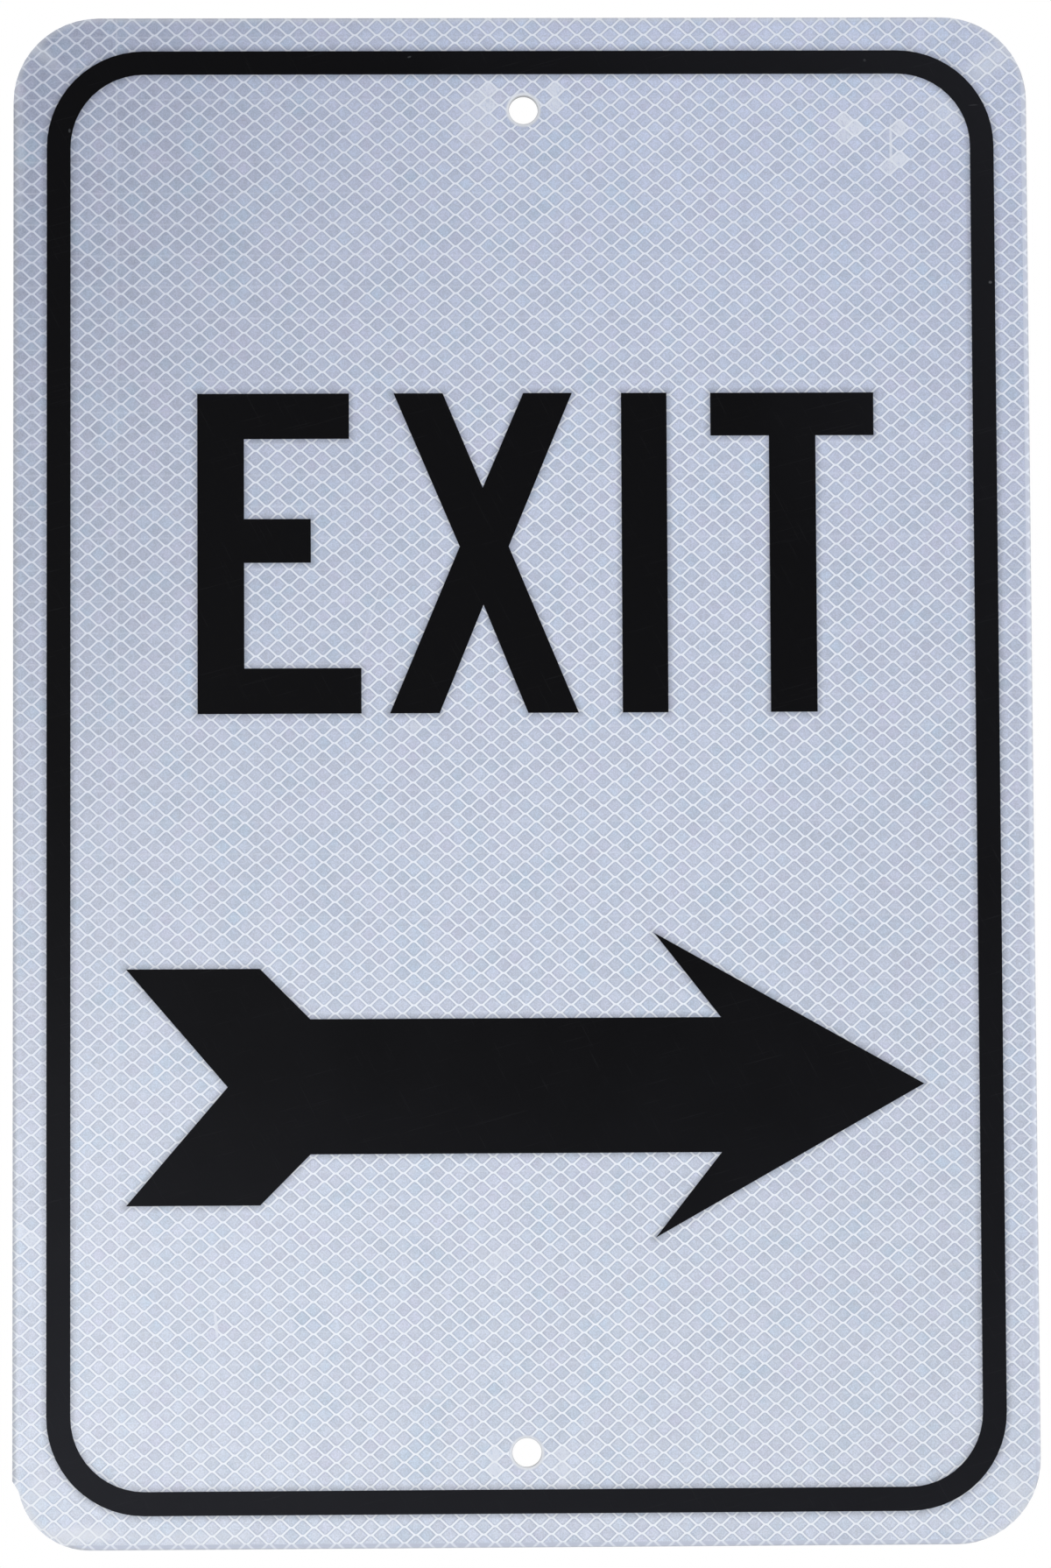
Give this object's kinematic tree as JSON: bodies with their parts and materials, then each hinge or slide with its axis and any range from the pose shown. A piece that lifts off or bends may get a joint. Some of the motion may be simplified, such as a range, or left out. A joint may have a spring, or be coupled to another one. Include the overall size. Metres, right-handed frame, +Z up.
{
  "type": "exit arrow sign",
  "caption": "Flat upright sheet aluminium sign: reflective face, black border, block-letter word EXIT over a fletched arrow pointing right, bolt holes at top and bottom.",
  "frame": {"origin": "on the back of the blank, in the middle of the sign", "axes": "+X to the right seen from the front, +Z up, and the face looks along -Y"},
  "size_m": [0.3048, 0.0025, 0.4572],
  "materials": {
    "blank_aluminium": "satin",
    "sheeting": "gloss",
    "black_film": "satin"
  },
  "bodies": {
    "root": {"sign_blank": "blank_aluminium", "reflective_sheeting": "sheeting", "border_film": "black_film", "arrow_film": "black_film"}
  },
  "joints": []
}
